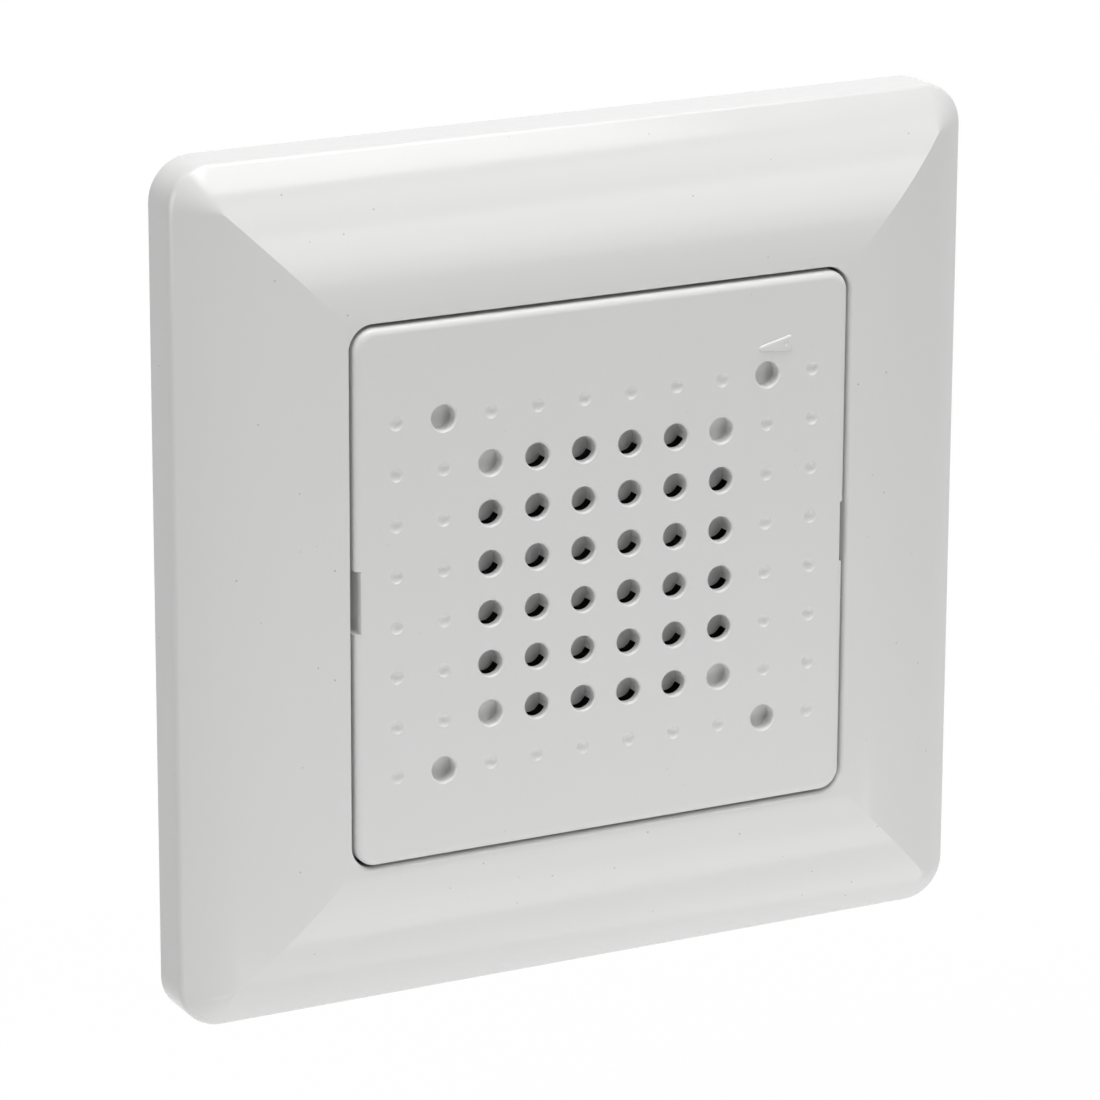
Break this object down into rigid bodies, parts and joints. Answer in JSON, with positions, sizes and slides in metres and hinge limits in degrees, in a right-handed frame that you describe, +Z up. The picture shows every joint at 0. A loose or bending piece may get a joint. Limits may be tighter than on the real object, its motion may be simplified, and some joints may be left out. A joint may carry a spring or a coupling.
{
  "type": "flush doorbell chime",
  "caption": "Flush wall door chime: square cushion-shaped frame, perforated centre cover, steel support ring and a round-cornered insert with loudspeaker, board and terminals.",
  "frame": {"origin": "middle between the two box-screw slots, on the support ring's back face, which lies on the wall", "axes": "+X right and +Z up as the chime hangs, +Y into the wall; the front looks along -Y"},
  "size_m": [0.08, 0.0321, 0.08],
  "materials": {
    "frame_plastic": "glossy white moulded plastic",
    "cover_plastic": "satin white moulded plastic with a fine grain",
    "ring_steel": "zinc-coated pressed steel sheet",
    "carrier_plastic": "black moulded plastic",
    "housing_plastic": "dark grey moulded plastic",
    "screw_steel": "zinc-coated steel",
    "basket_steel": "black painted pressed steel",
    "ferrite": "dark sintered ferrite",
    "yoke_steel": "zinc-coated machined steel",
    "cone_paper": "black pressed paper",
    "surround_foam": "black rubber",
    "gasket_board": "grey pressed board",
    "coil_copper": "enamelled copper wire",
    "board_laminate": "green solder resist on laminate",
    "chip_black": "black moulded epoxy",
    "capacitor_sleeve": "dark blue sleeve on an aluminium can",
    "diode_black": "black moulded epoxy with a pale ring",
    "resistor_lacquer": "beige lacquer with plain colour rings",
    "trimmer_plastic": "blue moulded plastic",
    "spindle_plastic": "white moulded plastic",
    "terminal_plastic": "light grey moulded plastic",
    "terminal_metal": "nickel-plated brass",
    "terminal_steel": "zinc-coated steel",
    "tag_laminate": "brown pressed laminate",
    "tag_metal": "tinned brass",
    "lead_insulation": "red plastic insulation"
  },
  "bodies": {
    "insert": {"support_ring": "ring_steel", "insert_carrier": "carrier_plastic", "carrier_screws": "screw_steel", "rear_housing": "housing_plastic", "speaker_basket": "basket_steel", "speaker_gasket": "gasket_board", "front_pole_plate": "yoke_steel", "speaker_magnet": "ferrite", "speaker_yoke": "yoke_steel", "cone_surround": "surround_foam", "speaker_tag_board": "tag_laminate", "solder_tags": "tag_metal", "speaker_leads": "lead_insulation", "circuit_board": "board_laminate", "sound_chip": "chip_black", "amplifier_chip": "chip_black", "electrolytic_capacitors": "capacitor_sleeve", "rectifier_diodes": "diode_black", "board_resistors": "resistor_lacquer", "trimmer_body": "trimmer_plastic", "terminal_block": "terminal_plastic", "terminal_pins": "terminal_metal"},
    "frame": {"cover_frame": "frame_plastic"},
    "cover": {"front_cover": "cover_plastic"},
    "cone": {"speaker_cone": "cone_paper", "dust_cap": "cone_paper", "voice_coil": "coil_copper"},
    "spindle": {"volume_spindle": "spindle_plastic"},
    "screw_1": {"terminal_screw_1": "terminal_steel"},
    "cage_1": {"terminal_cage_1": "terminal_metal"},
    "screw_2": {"terminal_screw_2": "terminal_steel"},
    "cage_2": {"terminal_cage_2": "terminal_metal"},
    "screw_3": {"terminal_screw_3": "terminal_steel"},
    "cage_3": {"terminal_cage_3": "terminal_metal"}
  },
  "joints": [
    {"name": "frame_pull", "type": "slide", "parent": "insert", "child": "frame", "axis": [0, -1, 0], "range_m": [0, 0.015]},
    {"name": "cover_pull", "type": "slide", "parent": "frame", "child": "cover", "axis": [0, -1, 0], "range_m": [0, 0.012]},
    {"name": "volume_turn", "type": "hinge", "parent": "insert", "child": "spindle", "pos_m": [0.0166, 0, 0.0161], "axis": [0, -1, 0], "range_deg": [-135, 135]},
    {"name": "cone_travel", "type": "slide", "parent": "insert", "child": "cone", "axis": [0, -1, 0], "range_m": [-0.0003, 0.0003], "stiffness_N_per_m": 200, "deforming": ["cone_surround"]},
    {"name": "terminal_screw_1_turn", "type": "hinge", "parent": "insert", "child": "screw_1", "pos_m": [-0.005, 0.02, -0.02155], "axis": [0, -1, 0], "range_deg": [0, 1080]},
    {"name": "terminal_cage_1_rise", "type": "slide", "parent": "insert", "child": "cage_1", "axis": [0, 1, 0], "range_m": [0, 0.0015]},
    {"name": "terminal_screw_2_turn", "type": "hinge", "parent": "insert", "child": "screw_2", "pos_m": [0, 0.02, -0.02155], "axis": [0, -1, 0], "range_deg": [0, 1080]},
    {"name": "terminal_cage_2_rise", "type": "slide", "parent": "insert", "child": "cage_2", "axis": [0, 1, 0], "range_m": [0, 0.0015]},
    {"name": "terminal_screw_3_turn", "type": "hinge", "parent": "insert", "child": "screw_3", "pos_m": [0.005, 0.02, -0.02155], "axis": [0, -1, 0], "range_deg": [0, 1080]},
    {"name": "terminal_cage_3_rise", "type": "slide", "parent": "insert", "child": "cage_3", "axis": [0, 1, 0], "range_m": [0, 0.0015]}
  ],
  "couplings": [
    {"joint": "terminal_screw_1_turn", "follows": "terminal_cage_1_rise", "rad_per_m": 12566},
    {"joint": "terminal_screw_2_turn", "follows": "terminal_cage_2_rise", "rad_per_m": 12566},
    {"joint": "terminal_screw_3_turn", "follows": "terminal_cage_3_rise", "rad_per_m": 12566}
  ]
}
